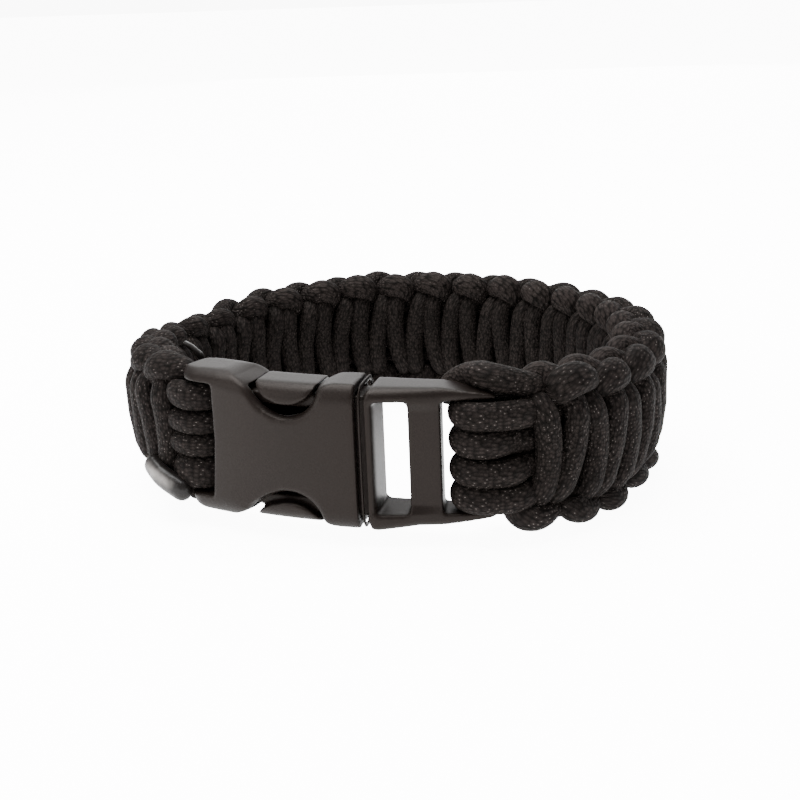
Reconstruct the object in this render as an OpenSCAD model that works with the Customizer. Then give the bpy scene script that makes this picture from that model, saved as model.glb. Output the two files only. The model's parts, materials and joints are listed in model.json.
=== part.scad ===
// Woven cord bracelet with a side release buckle, standing on its lower edge.
// The loop is an oval of arcs. Along it, s is the length from the buckle's
// middle, going right round; n points out of the loop, and w up from its middle.

/* [Loop] */
// Radius of the flat front arc that the buckle follows
front_r = 80; // [60:1:120]
// Length of the front arc
front_len = 48; // [47:1:52]
// Radius of the tight corner at each end of the front arc
corner_r = 20; // [18:1:26]
// Turn of each corner in degrees
corner_turn = 30; // [24:1:36]
// Radius of each side
side_r = 33.5; // [30:0.5:40]
// Turn of each side in degrees
side_turn = 58; // [50:1:66]

/* [Cord] */
// Diameter of the cord
cord_d = 4; // [3.7:0.1:4.2]
// Gap between one piece and the next
gap = 0.12; // [0.05:0.01:0.2]

/* [Woven band] */
// Width of the band where it meets the plug
band_w = 25.4; // [24:0.2:27]
// Depth by which the band's upper edge dips at the back
back_dip = 1; // [0:0.1:2]
// Height of the band's lower edge over the floor where it meets the socket
socket_rise = 1.5; // [0:0.1:2.5]
// Thickness of the band at the crown of its bars
band_t = 9.8; // [8.6:0.1:11]
// Length of the band that each bar takes, before rounding to whole knots
bar_pitch = 3.94; // [3.5:0.02:4.4]
// Depth of the groove between two bars
bar_groove = 1.1; // [0.4:0.1:1.6]
// Depth of the notch between two edge bumps
edge_notch = 2; // [0.8:0.1:3]
// Distance that the bars' upper ends lead their lower ends
bar_lean = 2; // [0:0.2:3]

/* [Buckle] */
// Length of the closed buckle
buckle_len = 50; // [47:0.5:52]
// Distance from the loop's middle plane to the buckle's middle, towards the plug
buckle_shift = 0.6; // [0:0.1:1]
// Thickness of the socket
socket_t = 9.6; // [9:0.1:10.6]
// Height of the socket at its lugs
lug_h = 23.4; // [23:0.1:24]
// Height of the socket at its mouth
mouth_h = 22.6; // [22:0.1:23]
// Wall of the socket
socket_wall = 1.6; // [1.4:0.1:1.8]
// Rounding of the socket's long edges
socket_round = 3.2; // [2.4:0.1:4]
// Distance from the mouth to the middle of the finger scallops
scallop_back = 10.7; // [10:0.1:11.4]
// Radius of the finger scallops
scallop_r = 5.9; // [5.5:0.1:6.3]
// Height left between the two scallops
waist_h = 11; // [10.4:0.1:11.6]
// Thickness of the plug's arms at its shoulder
arm_root = 2.2; // [1.9:0.1:2.5]
// Thickness of the plug's arms at their tips
arm_tip = 1; // [0.8:0.1:1.3]
// Thickness of the plug's frame
frame_t = 6; // [5.6:0.1:7]
// Height of the slots that take the cords
slot_h = 17.4; // [17.2:0.1:17.8]
// Width of the shoulder between mouth groove and first slot
shoulder_w = 1; // [0.8:0.1:1.4]
// Width of the open slot in the plug
slot_w = 4.8; // [4.4:0.1:5.2]
// Width of the flat middle bar
middle_bar_w = 4.7; // [4:0.1:5]
// Thickness of the two round bars that the cords pass round
bar_d = 2.6; // [2.4:0.1:2.8]
// Clearance between plug and socket
fit_gap = 0.3; // [0.2:0.05:0.4]

/* [Hidden] */
$fn = 64;
// Overlap where two shapes of one piece join.
join = 0.2;

cord_r = cord_d/2;
frame_h = slot_h + 2*arm_root;
tip_h = slot_h + 2*arm_tip;
// The four cords of a slot spread over its height.
loop_pitch = (slot_h - cord_d - 4*gap)/3;

// Arcs of one half of the loop, from the front to the back: radius, turn.
// The back arc's radius is worked out so that the half ends on the middle plane.
front_turn = front_len/2/front_r*180/PI;
turn_at_back = front_turn + corner_turn + side_turn;
back_r = (front_r*sin(front_turn)
          + corner_r*(sin(front_turn + corner_turn) - sin(front_turn))
          + side_r*(sin(turn_at_back) - sin(front_turn + corner_turn)))/sin(turn_at_back);
arcs = [[front_r, front_turn], [corner_r, corner_turn],
        [side_r, side_turn], [back_r, 180 - turn_at_back]];
function arc_len(a) = a[0]*a[1]*PI/180;
half_len = arc_len(arcs[0]) + arc_len(arcs[1]) + arc_len(arcs[2]) + arc_len(arcs[3]);

// Place and heading [x, y, degrees] at length s along the right half.
function walk(s, i = 0, x = 0, y = 0, h = 0) =
    let(r = arcs[i][0], len = arc_len(arcs[i]), d = min(s, len),
        h2 = h + d/r*180/PI,
        x2 = x + r*(sin(h2) - sin(h)), y2 = y + r*(cos(h) - cos(h2)))
    (s <= len || i == len(arcs) - 1) ? [x2, y2, h2] : walk(s - len, i + 1, x2, y2, h2);

// The same anywhere round the loop: the left half mirrors the right.
function loop_at(s) =
    s < 0 ? let(m = walk(-s)) [-m[0], m[1], -m[2]]
    : s <= half_len ? walk(s)
    : let(m = walk(2*half_len - s)) [-m[0], m[1], 360 - m[2]];

loop_depth = walk(half_len)[1];
band_out = band_t/2;
mid_z = band_w/2;
// The loop is shifted so that the middle of its outline is over the origin.
front_y = -(loop_depth + band_out - socket_t/2)/2;

// Buckle places, as lengths along the front arc from its middle.
// Each half is worked out from its cord bar, which lies by its outer end.
lug_u = buckle_shift - buckle_len/2;
tip_u = buckle_shift + buckle_len/2;
end_web = 0.7;
mouth_groove = 1.5;
cord_room = 0.6;
socket_bar_u = lug_u + end_web + bar_d/2;
plate_u = socket_bar_u + bar_d/2 + cord_d + 3*gap;
plug_bar_u = tip_u - end_web - bar_d/2;
slot_2_u = plug_bar_u - bar_d/2 - gap - cord_d - cord_room;
middle_bar_u = slot_2_u - middle_bar_w;
slot_1_u = middle_bar_u - slot_w;
shoulder_u = slot_1_u - shoulder_w;
mouth_u = shoulder_u - mouth_groove;
scallop_u = mouth_u - scallop_back;
cavity_u = plate_u + 2*socket_wall;
cavity_t = socket_t - 2*socket_wall;
cavity_h = mouth_h - 2*socket_wall;

// The weave lies between the cords of the two loops; its bars fill it evenly.
leg_reach = 3.3;
// Share of its radius by which a cord's cut end stands out.
dome = 0.35;
weave_start = plug_bar_u + leg_reach + gap;
weave_end = 2*half_len + socket_bar_u - leg_reach - gap;
weave_len = weave_end - weave_start;
bars = 2*round(weave_len/bar_pitch/2);

/* Helpers */

function deg_on_front(u) = u/front_r*180/PI;

// Straight distance from the middle plane to length u on the front arc.
function across(u) = front_r*sin(deg_on_front(u));

// Moves the children from a local frame to length s on the loop:
// x along the loop, y into the loop, z up from the middle.
module at_loop(s) {
    p = loop_at(s);
    translate([p[0], p[1] + front_y, mid_z]) rotate([0, 0, p[2]]) children();
}

// Sweeps a profile (n, w) along the front arc from length u0 to u1.
module along_front(u0, u1) {
    translate([0, front_y + front_r, mid_z]) rotate([0, 0, deg_on_front(u0) - 90])
        rotate_extrude(angle = deg_on_front(u1) - deg_on_front(u0), $fn = 360)
            translate([front_r, 0]) children();
}

// Extrudes an outline (x, w) right through the front of the loop; x is straight.
module through_front(depth = 30) {
    translate([0, front_y, mid_z]) rotate([90, 0, 0])
        linear_extrude(height = depth, center = true) children();
}

// Rectangle with round corners, round the origin.
module round_rect(x, y, r) {
    square([x - 2*r, y], center = true);
    square([x, y - 2*r], center = true);
    for (i = [-1, 1], j = [-1, 1])
        translate([i*(x/2 - r), j*(y/2 - r)]) circle(r);
}

// Points along an arc, from angle a0 to a1.
function arc_points(centre, r, a0, a1, steps) =
    [for (i = [0 : steps]) let(a = a0 + (a1 - a0)*i/steps)
        centre + r*[cos(a), sin(a)]];

// An outline given by its upper half, closed by the mirror image below.
module mirrored_outline(upper) {
    lower = [for (i = [len(upper) - 1 : -1 : 0]) [upper[i][0], -upper[i][1]]];
    polygon(concat(upper, lower));
}

// Tube of cord along a route of points, as one closed skin with round ends.
module cord_tube(route, r) {
    sides = 10;
    last = len(route) - 1;
    function unit(v) = v/norm(v);
    function along(i) = unit(route[min(i + 1, last)] - route[max(i - 1, 0)]);
    function ring(i, centre, size) =
        let(t = along(i), a = unit(cross([0, 0, 1], t)), b = cross(t, a))
        [for (j = [0 : sides - 1]) centre + size*(a*cos(360*j/sides) + b*sin(360*j/sides))];
    start = route[0] - along(0)*r*dome;
    finish = route[last] + along(last)*r*dome;
    cap_r = r*0.62;
    points = concat(ring(0, start, cap_r), [for (i = [0 : last]) each ring(i, route[i], r)],
                    ring(last, finish, cap_r));
    rings = last + 3;
    faces = concat(
        [[for (j = [0 : sides - 1]) j]],
        [for (i = [0 : rings - 2], j = [0 : sides - 1])
            let(a = i*sides + j, b = i*sides + (j + 1) % sides)
            each [[a, a + sides, b + sides], [a, b + sides, b]]],
        [[for (j = [sides - 1 : -1 : 0]) (rings - 1)*sides + j]]);
    polyhedron(points, faces, convexity = 4);
}

/* Buckle */

// Outline of the socket from the front: lugs with round noses at one end,
// the mouth at the other, and on each edge a finger scallop that flares out
// through a wide round on the lug's side and a small one on the mouth's side.
module socket_outline() {
    lug_round = 6;
    mouth_round = 2;
    nose_r = 1.3;
    slot_half = slot_h/2;
    nose_x = across(lug_u) + nose_r;
    scallop = [across(scallop_u), waist_h/2 + scallop_r];
    // Centre of the round that joins the scallop to an edge at height top.
    function round_centre(side, r, top) =
        let(w = top - r, reach = sqrt(pow(scallop_r + r, 2) - pow(scallop[1] - w, 2)))
        [scallop[0] + side*reach, w];
    mouth_c = round_centre(1, mouth_round, mouth_h/2);
    lug_c = round_centre(-1, lug_round, lug_h/2);
    mouth_a = atan2(scallop[1] - mouth_c[1], scallop[0] - mouth_c[0]);
    lug_a = atan2(scallop[1] - lug_c[1], scallop[0] - lug_c[0]);
    mirrored_outline(concat(
        [[mouth_u + 1, mouth_h/2]],
        arc_points(mouth_c, mouth_round, 90, mouth_a, 5),
        arc_points(scallop, scallop_r, mouth_a - 180, lug_a - 180, 16),
        arc_points(lug_c, lug_round, lug_a, 90, 8),
        arc_points([nose_x, slot_half + gap + nose_r], nose_r, 100, 250, 8),
        [[across(socket_bar_u), slot_half], [across(plate_u), slot_half]]));
}

// Round bar standing between two lugs or arms.
module standing_bar(u) {
    bar_seat = 0.8;
    at_loop(u) cylinder(h = slot_h + 2*bar_seat, d = bar_d, center = true);
}

module buckle_socket() {
    color([0.27, 0.25, 0.24]) {
        difference() {
            intersection() {
                along_front(lug_u, mouth_u) round_rect(socket_t, lug_h, socket_round);
                through_front() socket_outline();
            }
            along_front(cavity_u, mouth_u + 1) square([cavity_t, cavity_h], center = true);
        }
        standing_bar(socket_bar_u);
    }
}

// Outline of the plug's frame, drawing in a little towards the arm tips,
// with the opening between the arms past the middle bar.
module frame_outline() {
    tip_r = 1.6;
    corner = 0.8;
    taper = 0.2;
    shoulder_x = across(shoulder_u);
    slot_x = across(slot_2_u);
    // Angle of the tip's round at which it meets the inner side of the arm.
    tip_w = tip_h/2 - tip_r;
    tip_a = asin((slot_h/2 + taper/2 - tip_w)/tip_r);
    mirrored_outline(concat(
        [[slot_x, slot_h/2]],
        arc_points([across(tip_u) - tip_r*cos(tip_a), tip_w], tip_r, tip_a, 85, 5),
        [[slot_x, frame_h/2 - taper], [shoulder_x + corner, frame_h/2],
         [shoulder_x, frame_h/2 - corner]]));
}

// Thumb pad of one prong, filling most of a scallop.
module pad_outline() {
    pad_r = scallop_r - 0.5;
    pad_out = 2.2;
    translate([across(scallop_u), waist_h/2 + pad_r + pad_out]) circle(pad_r);
}

module buckle_plug() {
    tongue_t = cavity_t - 2*fit_gap;
    tongue_h = cavity_h - 2*fit_gap;
    tongue_u = mouth_u - 3.4;
    prong_w = 2;
    prong_t = tongue_t - 2*fit_gap;
    prong_mid = tongue_h/2 - fit_gap - prong_w/2;
    prong_u = cavity_u + 1.6;
    guide_w = 3;
    guide_u = cavity_u + 3;
    edge_round = 1.6;
    pad_round = 2.6;
    pad_inset = 0.8;
    color([0.27, 0.25, 0.24]) {
        difference() {
            intersection() {
                along_front(shoulder_u, tip_u) round_rect(frame_t, frame_h, edge_round);
                through_front() frame_outline();
            }
            through_front() translate([across(slot_1_u), -slot_h/2])
                square([across(middle_bar_u) - across(slot_1_u), slot_h]);
        }
        // Collar against the mouth, then the tongue that fills the mouth.
        along_front(tongue_u, shoulder_u + join) square([tongue_t, tongue_h], center = true);
        // The two prongs and the guide between them, a little thinner than the tongue.
        for (side = [-1, 1])
            along_front(prong_u, tongue_u + join) translate([0, side*prong_mid])
                square([prong_t, prong_w], center = true);
        along_front(guide_u, tongue_u + join) square([prong_t, guide_w], center = true);
        intersection() {
            along_front(lug_u, mouth_u)
                round_rect(socket_t - pad_inset, mouth_h - pad_inset, pad_round);
            through_front() for (m = [0, 1]) mirror([0, m]) pad_outline();
        }
        standing_bar(plug_bar_u);
    }
}

/* Cord loops round the two bars */

// Route of one cord round a bar, in the bar's own frame: x points to the weave,
// y into the loop. It starts at the end of the outer leg. Both legs leave the
// bar straight, then draw in, and the inner one is shorter, as the weave leans in.
turn_r = bar_d/2 + gap + cord_r;
leg_half = 2.7;
outer_end = leg_reach - cord_r*dome - gap;
inner_end = outer_end - 0.35;
// Share of a leg that runs straight from the bar.
leg_straight = 0.45;
outer_leg = [[outer_end, -leg_half, 0], [leg_straight*outer_end, -turn_r, 0]];
inner_leg = [[leg_straight*inner_end, turn_r, 0], [inner_end, leg_half, 0]];
bar_turn = [for (a = [-90 : -22.5 : -270]) [turn_r*cos(a), turn_r*sin(a), 0]];

// Inner leg of an outermost loop on the plug: the working strand passes behind
// the arm's tip and comes up to the band's edge.
function lead_leg(side) =
    let(behind = frame_t/2 + cord_r + 2*gap)
    [[0.7, (turn_r + behind)/2, side*0.3], [1.4, behind, side*0.9], [2, behind, side*1.7]];

function loop_w(k) = (k - 2.5)*loop_pitch;

module plug_loop(k) {
    lead = k == 1 ? lead_leg(-1) : k == 4 ? lead_leg(1) : inner_leg;
    color([0.14, 0.12, 0.11]) at_loop(plug_bar_u) translate([0, 0, loop_w(k)])
        cord_tube(concat(outer_leg, bar_turn, lead), cord_r);
}

module socket_loop(k) {
    color([0.14, 0.12, 0.11]) at_loop(socket_bar_u) translate([0, 0, loop_w(k)])
        rotate([0, 180, 0]) cord_tube(concat(outer_leg, bar_turn, inner_leg), cord_r);
}

/* Woven band */

// Power of a sine or cosine that keeps its sign.
function bulge(v, e) = sign(v)*pow(abs(v), e);

// One point of the band's section, as [n, w]. x counts bars along the band,
// and at turns the section from the outer face (0) through the upper edge (90).
// The bars cross both faces, each with a groove beside it. On each edge the
// cord bends round two bars at a time, outside and inside by turns, and the
// two edges are one bar out of step.
function section_point(x, at, half_w) =
    let(c = cos(at), e = sin(at),
        face = pow(abs(c), 1.2), edge = pow(abs(e), 3),
        groove = 1 - pow(abs(sin(180*x)), 0.7),
        even = pow(abs(cos(90*x)), 0.8), odd = pow(abs(sin(90*x)), 0.8),
        outside = e > 0 ? even : odd, inside = e > 0 ? odd : even,
        bump = max(outside*min(1, 1 + 2*c), inside*min(1, 1 - 2*c)))
    [bulge(c, 0.8)*(band_out - bar_groove*face*groove - 0.45*edge_notch*edge*(1 - bump)),
     bulge(e, 0.62)*(half_w - edge_notch*edge*(1 - bump))];

module woven_band() {
    steps = 4;
    around = 20;
    end_draw = 0.86;
    rings = bars*steps;
    // Heights of the two edges, t being the share of the way from plug to socket.
    function upper_edge(t) = band_w - back_dip*sin(180*t);
    function lower_edge(t) = socket_rise*pow(t, 3);
    function middle(t) = (upper_edge(t) + lower_edge(t))/2;
    // A ring's points, drawn in by the factor size; upper points lead, lower lag.
    function ring(i, size) = [for (j = [0 : around - 1])
        let(half_w = upper_edge(i/rings) - middle(i/rings),
            p = section_point(i/steps, 360*j/around, half_w)*size,
            at = loop_at(weave_start + bar_lean/2 + (weave_len - bar_lean)*i/rings
                         + bar_lean/2*p[1]/half_w))
        [at[0] + p[0]*sin(at[2]), at[1] - p[0]*cos(at[2]) + front_y, middle(i/rings) + p[1]]];
    grid = [for (i = [0 : rings]) each ring(i, i == 0 || i == rings ? end_draw : 1)];
    function end_mid(s, t) = let(at = loop_at(s)) [at[0], at[1] + front_y, middle(t)];
    points = concat(grid, [end_mid(weave_start + bar_lean/2, 0), end_mid(weave_end - bar_lean/2, 1)]);
    last = rings*around;
    faces = concat(
        [for (i = [0 : rings - 1], j = [0 : around - 1])
            let(a = i*around + j, b = i*around + (j + 1) % around)
            each [[a, b, b + around], [a, b + around, a + around]]],
        [for (j = [0 : around - 1]) [len(grid), (j + 1) % around, j]],
        [for (j = [0 : around - 1]) [len(grid) + 1, last + j, last + (j + 1) % around]]);
    color([0.16, 0.14, 0.13]) polyhedron(points, faces, convexity = 6);
}

/* Melted cord ends */

// Flattened end of a cord, wide up the band and thick out from it, through
// places [length before the weave's end, n, w], worked out from the band.
module melted_end(places, wide, thick) {
    color([0.2, 0.18, 0.17]) hull() for (p = places)
        at_loop(weave_end - p[0]) translate([0, -p[1], p[2]])
            scale([1, thick/wide, 1]) sphere(wide/2, $fn = 14);
}

// Pressed on the outer face at the lower edge, and running on past the weave's end.
module cord_end_lower() {
    wide = cord_d;
    thick = 0.7*cord_d;
    n = band_out + 2*gap + thick/2;
    edge = socket_rise - mid_z;
    melted_end([[1.1*wide, n, edge + wide], [0.1*wide, n, edge + 0.8*wide],
                [-0.3*wide, n - 0.2*wide, edge + 0.5*wide]], wide, thick);
}

// Pressed on the inner face at the upper edge.
module cord_end_upper() {
    wide = 0.95*cord_d;
    thick = 0.6*cord_d;
    n = -(band_out + gap + thick/2);
    edge = band_w - mid_z;
    melted_end([[2.1*wide, n + 0.08*wide, edge - 0.8*wide],
                [0.47*wide, n + 0.13*wide, edge - 0.55*wide]], wide, thick);
}

buckle_socket();
buckle_plug();
woven_band();
plug_loop(1);  // plug_loop_1
plug_loop(2);  // plug_loop_2
plug_loop(3);  // plug_loop_3
plug_loop(4);  // plug_loop_4
socket_loop(1);  // socket_loop_1
socket_loop(2);  // socket_loop_2
socket_loop(3);  // socket_loop_3
socket_loop(4);  // socket_loop_4
cord_end_lower();
cord_end_upper();
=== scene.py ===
"""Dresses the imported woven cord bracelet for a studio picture.

Lengths are in millimetres and become metres where a mesh is made. Only the
lamps, the floor and the camera's near clip are in metres. Along the bracelet, s
is the length from the buckle's middle going right round, w is the height above
the band's middle, and n points out of the loop.
"""

import json
import logging
import math
from dataclasses import dataclass, field
from enum import Enum
from typing import Sequence

import bpy
import numpy as np
from mathutils import Matrix

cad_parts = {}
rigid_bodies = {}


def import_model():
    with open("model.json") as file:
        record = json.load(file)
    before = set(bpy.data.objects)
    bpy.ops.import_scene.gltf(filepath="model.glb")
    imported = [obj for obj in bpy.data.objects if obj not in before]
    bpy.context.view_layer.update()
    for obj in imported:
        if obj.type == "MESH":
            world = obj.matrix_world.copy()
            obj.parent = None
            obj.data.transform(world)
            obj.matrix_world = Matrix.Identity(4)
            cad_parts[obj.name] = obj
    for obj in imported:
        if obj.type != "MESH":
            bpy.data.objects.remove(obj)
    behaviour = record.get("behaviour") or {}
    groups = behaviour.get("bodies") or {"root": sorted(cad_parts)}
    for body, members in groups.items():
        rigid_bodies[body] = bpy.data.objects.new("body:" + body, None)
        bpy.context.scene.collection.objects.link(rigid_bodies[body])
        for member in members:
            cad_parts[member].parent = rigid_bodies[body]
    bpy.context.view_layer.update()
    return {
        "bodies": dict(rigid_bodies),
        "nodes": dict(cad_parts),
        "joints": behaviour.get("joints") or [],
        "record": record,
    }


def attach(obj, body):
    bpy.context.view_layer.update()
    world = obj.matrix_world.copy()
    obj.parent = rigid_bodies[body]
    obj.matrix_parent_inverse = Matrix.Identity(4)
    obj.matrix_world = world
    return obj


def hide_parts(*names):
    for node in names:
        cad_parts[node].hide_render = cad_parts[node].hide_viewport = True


Array = np.ndarray
Socket = bpy.types.NodeSocket
Colour = tuple[float, float, float, float]
Pair = tuple[float, float]
Triple = tuple[float, float, float]

LOG = logging.getLogger("bracelet")
MM = 0.001
SEED = 20
# Keeps a length from being nought.
TINY = 1e-6
# The map of every tube: share of the turn round it, and length along it.
CORD_MAP = "cord"
# Turns of the rings in a tube's domed end, in degrees.
END_TURNS = (80, 60, 40, 20)
# How far a dome's pole stands past its last ring, as a share of the dome.
POLE = 0.02
# Points of a round curve from one knot to the next.
CURVE_STEPS = 24
# The tint of the shine on warm black cord and plastic.
WARM_TINT = (1.0, 0.9, 0.84, 1.0)


class End(Enum):
    """Which half of the buckle a cord is on."""

    PLUG = "plug"
    SOCKET = "socket"


# Shapes of curves


def fade(value: Array, start: float, length: float) -> Array:
    """0 at the start and 1 a length further on, which is lower where the length is negative."""
    return np.clip((value - start) / length, 0, 1)


def eased(x: Array) -> Array:
    """The round step 3 x^2 - 2 x^3 of a share."""
    return x * x * (3 - 2 * x)


def unit(v: Array) -> Array:
    """Vectors of length one."""
    return v / np.maximum(np.linalg.norm(v, axis=-1, keepdims=True), TINY)


def arc_length(path: Array) -> Array:
    """Length from the start to each point of a path."""
    return np.concatenate([[0.0], np.cumsum(np.linalg.norm(np.diff(path, axis=0), axis=1))])


def respace(path: Array, step: float) -> Array:
    """Spaces a path's points evenly.

    Args:
        path: The points, (n, 3).
        step: The wanted distance between points.

    Returns:
        The new points.
    """
    d = arc_length(path)
    t = np.linspace(0, d[-1], int(round(d[-1] / step)) + 1)
    return np.stack([np.interp(t, d, column) for column in path.T], axis=-1)


def smooth_curve(knots: Sequence[Sequence[float]], step: float) -> Array:
    """A round curve through a few points.

    Between two knots each coordinate is the Catmull-Rom cubic of the four
    knots around, and the whole is spaced evenly.

    Args:
        knots: The points.
        step: Distance between the curve's points.

    Returns:
        The curve's points, (n, 3).
    """
    k = np.asarray(knots, dtype=float)
    k = np.vstack([2 * k[0] - k[1], k, 2 * k[-1] - k[-2]])
    t = np.linspace(0, 1, CURVE_STEPS, endpoint=False)[None, :, None]
    a, b, c, d = (k[i : len(k) - 3 + i][:, None] for i in range(4))
    curve = 0.5 * (2 * b + (c - a) * t + (2 * a - 5 * b + 4 * c - d) * t**2
                   + (3 * b - a - 3 * c + d) * t**3)
    return respace(np.vstack([curve.reshape(-1, 3), k[-2]]), step)


# Meshes


def link(name: str, data: bpy.types.ID) -> bpy.types.Object:
    """Makes an object and links it to the scene.

    Args:
        name: The object's name.
        data: Its mesh, camera or lamp.

    Returns:
        The object, at the origin.
    """
    thing = bpy.data.objects.new(name, data)
    bpy.context.scene.collection.objects.link(thing)
    return thing


def dress(piece: bpy.types.Object, finish: bpy.types.Material) -> None:
    """Shades every face smooth and gives the piece one finish.

    Args:
        piece: The piece.
        finish: Its finish.
    """
    faces = piece.data.polygons
    faces.foreach_set("use_smooth", np.ones(len(faces), dtype=bool))
    piece.data.materials.clear()
    piece.data.materials.append(finish)
    piece.data.update()


def quad_mesh(name: str, points: Array, quads: Array, caps: Array, uv: Array) -> bpy.types.Mesh:
    """Makes a mesh of quads and cap triangles with a map.

    Args:
        name: The mesh's name.
        points: Points in millimetres, (n, 3).
        quads: Corner indices, (m, 4).
        caps: Corner indices of the caps' triangles, (k, 3).
        uv: Map values for every corner, quads first, (4m + 3k, 2).

    Returns:
        The mesh in metres.
    """
    mesh = bpy.data.meshes.new(name)
    mesh.vertices.add(len(points))
    mesh.vertices.foreach_set("co", (points * MM).astype(np.float32).ravel())
    corners = np.concatenate([quads.ravel(), caps.ravel()]).astype(np.int32)
    mesh.loops.add(len(corners))
    mesh.loops.foreach_set("vertex_index", corners)
    starts = np.concatenate([4 * np.arange(len(quads)), 4 * len(quads) + 3 * np.arange(len(caps))])
    mesh.polygons.add(len(starts))
    mesh.polygons.foreach_set("loop_start", starts.astype(np.int32))
    layer = mesh.uv_layers.new(name=CORD_MAP)
    layer.data.foreach_set("uv", uv.astype(np.float32).ravel())
    mesh.update(calc_edges=True)
    mesh.validate()
    return mesh


def sweep(name: str, finish: bpy.types.Material, path: Array, flat: Array, wide: Array | float,
          thick: Array | float, sides: int = 18, dome: float = 0.5) -> bpy.types.Object:
    """A tube of oval section along a path, closed by domed ends.

    At each path point the section is centre + wide cos(a) side + thick sin(a)
    up, where up is the flat direction made square to the path and side is
    path x up. At an end the section shrinks as cos and moves on as sin.

    Args:
        name: The piece's name.
        finish: Its finish.
        path: Centre points, (n, 3).
        flat: Direction that the section's thickness points in, (n, 3).
        wide: Half width, one for all points or one for each.
        thick: Half thickness, one for all points or one for each.
        sides: Number of sides.
        dome: How far an end stands out, as a share of the half width.

    Returns:
        The piece, mapped by angle and by length in millimetres.
    """
    wide, thick = (np.broadcast_to(v, len(path)) for v in (wide, thick))
    along = unit(np.gradient(path, axis=0))
    side = unit(np.cross(along, flat))
    up = np.cross(side, along)
    turn = np.radians(END_TURNS)
    reach = np.sin(turn) * dome
    start = path[0] - along[0] * wide[0] * reach[:, None]
    stop = path[-1] + along[-1] * wide[-1] * reach[::-1, None]

    def both(v: Array) -> Array:
        """Values repeated for the rings of the two ends."""
        return np.concatenate([v[:1].repeat(len(turn), axis=0), v, v[-1:].repeat(len(turn), axis=0)])

    size = np.concatenate([np.cos(turn), np.ones(len(path)), np.cos(turn[::-1])])
    centre = np.concatenate([start, path, stop])
    a = 2 * np.pi * np.arange(sides) / sides
    ring = (both(side)[:, None] * (both(wide) * size)[:, None, None] * np.cos(a)[None, :, None]
            + both(up)[:, None] * (both(thick) * size)[:, None, None] * np.sin(a)[None, :, None])
    grid = centre[:, None] + ring
    rows = len(grid)
    length = arc_length(centre)
    i, j = np.meshgrid(np.arange(rows - 1), np.arange(sides), indexing="ij")
    k = (j + 1) % sides
    quads = np.stack([i * sides + j, i * sides + k, (i + 1) * sides + k, (i + 1) * sides + j], -1)
    uv = np.stack([np.stack([(j + dj) / sides, length[i + di]], -1)
                   for di, dj in ((0, 0), (0, 1), (1, 1), (1, 0))], 2)
    poles = np.stack([centre[0] - along[0] * wide[0] * dome * POLE,
                      centre[-1] + along[-1] * wide[-1] * dome * POLE])
    around = np.arange(sides)
    after = (around + 1) % sides
    top = (rows - 1) * sides
    caps = np.vstack([np.stack([after, around, np.full(sides, rows * sides)], -1),
                      np.stack([top + around, top + after, np.full(sides, rows * sides + 1)], -1)])
    cap_uv = np.stack([np.stack([c / sides, np.full(sides, length[e])], -1)
                       for e, row in ((0, (around + 1, around, around)),
                                      (-1, (around, around + 1, around))) for c in row], 1)
    cap_uv = cap_uv.reshape(sides, 2, 3, 2).transpose(1, 0, 2, 3)
    mesh = quad_mesh(name, np.vstack([grid.reshape(-1, 3), poles]), quads.reshape(-1, 4), caps,
                     np.vstack([uv.reshape(-1, 2), cap_uv.reshape(-1, 2)]))
    piece = link(name, mesh)
    dress(piece, finish)
    return piece


# The loop that everything follows


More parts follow.
